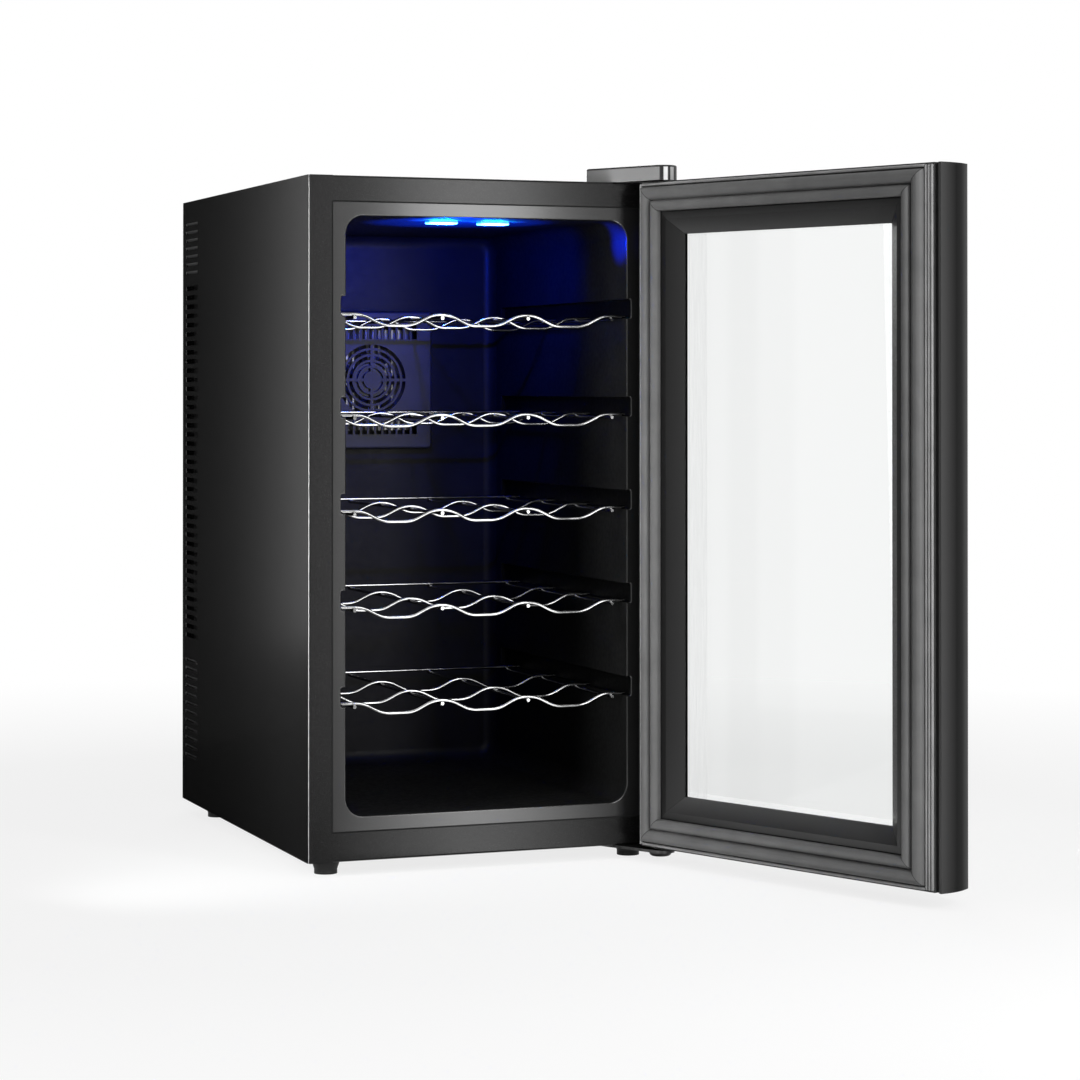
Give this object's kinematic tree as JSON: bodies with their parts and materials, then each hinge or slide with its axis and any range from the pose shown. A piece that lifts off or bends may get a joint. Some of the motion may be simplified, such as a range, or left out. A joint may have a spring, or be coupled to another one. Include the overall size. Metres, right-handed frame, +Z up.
{
  "type": "wine cooler",
  "caption": "Compact free-standing wine cooler: black steel cabinet, black liner, dipped chrome wire shelves that slide out, side louvres, and a right-hinged double-glazed door.",
  "frame": {"origin": "on the floor, midway between the four feet", "axes": "+Z up, -Y towards the front where the door closes, +X towards the hinge side"},
  "size_m": [0.487, 0.8076, 0.645],
  "materials": {
    "black_paint": "fine-grained satin black paint on steel sheet",
    "zinc_steel": "zinc-plated steel",
    "screw_steel": "blackened steel screws and pins",
    "liner_black": "black thermoformed liner, satin",
    "foam": "rigid polyurethane foam, cream",
    "bare_aluminium": "extruded aluminium, natural",
    "module_ceramic": "white ceramic plates",
    "seal_rubber": "closed-cell sealing frame",
    "black_plastic": "matt black moulded plastic",
    "lamp_lens": "translucent blue diffuser",
    "circuit_board": "green circuit board with parts",
    "lead_jacket": "black lead jacket",
    "contact_brass": "plated contacts",
    "hinge_cover_grey": "satin grey moulded cap",
    "bearing_plastic": "natural bearing plastic",
    "chrome_wire": "bright chromed wire",
    "door_stile": "satin charcoal extruded stile",
    "clear_glass": "clear float glass",
    "gasket_grey": "soft grey seal",
    "magnet_strip": "rubber-bonded magnet strip"
  },
  "bodies": {
    "cabinet": {"back_plate": "zinc_steel", "base_pan": "black_paint", "bottom_hinge_pin": "screw_steel", "bottom_hinge_plate": "zinc_steel", "bottom_hinge_screws": "screw_steel", "cold_block": "bare_aluminium", "cold_fan_frame": "black_plastic", "cold_sink": "bare_aluminium", "fan_cover": "black_plastic", "foam_insulation": "foam", "foot_inserts": "screw_steel", "hinge_backing_plates": "zinc_steel", "hinge_washer": "bearing_plastic", "hot_fan_frame": "black_plastic", "hot_sink": "bare_aluminium", "inlet_panel": "black_paint", "inlet_pins": "contact_brass", "inner_liner": "liner_black", "lamp_board": "circuit_board", "lamp_housing": "black_plastic", "lamp_lenses": "lamp_lens", "left_side_panel": "black_paint", "module_seal": "seal_rubber", "peltier_module": "module_ceramic", "power_board": "circuit_board", "power_inlet": "black_plastic", "power_lead": "lead_jacket", "power_tray": "black_plastic", "rear_cover": "black_paint", "rear_cover_screws": "screw_steel", "rear_left_foot": "black_plastic", "rear_right_foot": "black_plastic", "right_side_panel": "black_paint", "top_hinge_cover": "hinge_cover_grey", "top_hinge_pin": "screw_steel", "top_hinge_plate": "zinc_steel", "top_hinge_screws": "screw_steel", "top_panel": "black_paint"},
    "door": {"handle_profile": "door_stile", "hinge_profile": "door_stile", "door_frame": "black_plastic", "outer_glass": "clear_glass", "inner_glass": "clear_glass", "pane_spacer": "bare_aluminium", "inner_bezel": "black_plastic", "gasket": "gasket_grey", "gasket_magnets": "magnet_strip", "control_board": "circuit_board", "top_door_bush": "bearing_plastic", "bottom_door_bush": "bearing_plastic"},
    "cold_fan_rotor": {"cold_fan_rotor": "black_plastic"},
    "hot_fan_rotor": {"hot_fan_rotor": "black_plastic"},
    "front_left_foot": {"front_left_foot": "black_plastic"},
    "front_right_foot": {"front_right_foot": "black_plastic"},
    "shelf_1": {"shelf_1": "chrome_wire"},
    "shelf_2": {"shelf_2": "chrome_wire"},
    "shelf_3": {"shelf_3": "chrome_wire"},
    "shelf_4": {"shelf_4": "chrome_wire"},
    "shelf_5": {"shelf_5": "chrome_wire"}
  },
  "joints": [
    {"name": "door_hinge", "type": "hinge", "parent": "cabinet", "child": "door", "pos_m": [0.161, -0.236, 0], "axis": [0, 0, 1], "range_deg": [-112, 6]},
    {"name": "shelf_1_slide", "type": "slide", "parent": "cabinet", "child": "shelf_1", "axis": [0, -1, 0], "range_m": [0, 0.2]},
    {"name": "shelf_2_slide", "type": "slide", "parent": "cabinet", "child": "shelf_2", "axis": [0, -1, 0], "range_m": [0, 0.2]},
    {"name": "shelf_3_slide", "type": "slide", "parent": "cabinet", "child": "shelf_3", "axis": [0, -1, 0], "range_m": [0, 0.2]},
    {"name": "shelf_4_slide", "type": "slide", "parent": "cabinet", "child": "shelf_4", "axis": [0, -1, 0], "range_m": [0, 0.2]},
    {"name": "shelf_5_slide", "type": "slide", "parent": "cabinet", "child": "shelf_5", "axis": [0, -1, 0], "range_m": [0, 0.2]},
    {"name": "cold_fan_spin", "type": "hinge", "parent": "cabinet", "child": "cold_fan_rotor", "pos_m": [0, 0.15, 0.447], "axis": [0, -1, 0], "continuous": true},
    {"name": "hot_fan_spin", "type": "hinge", "parent": "cabinet", "child": "hot_fan_rotor", "pos_m": [0, 0.23, 0.447], "axis": [0, -1, 0], "continuous": true},
    {"name": "front_left_foot_turn", "type": "hinge", "parent": "cabinet", "child": "front_left_foot", "pos_m": [-0.1485, -0.188, 0], "axis": [0, 0, 1], "range_deg": [0, 1440]},
    {"name": "front_right_foot_turn", "type": "hinge", "parent": "cabinet", "child": "front_right_foot", "pos_m": [0.1485, -0.188, 0], "axis": [0, 0, 1], "range_deg": [0, 1440]}
  ]
}
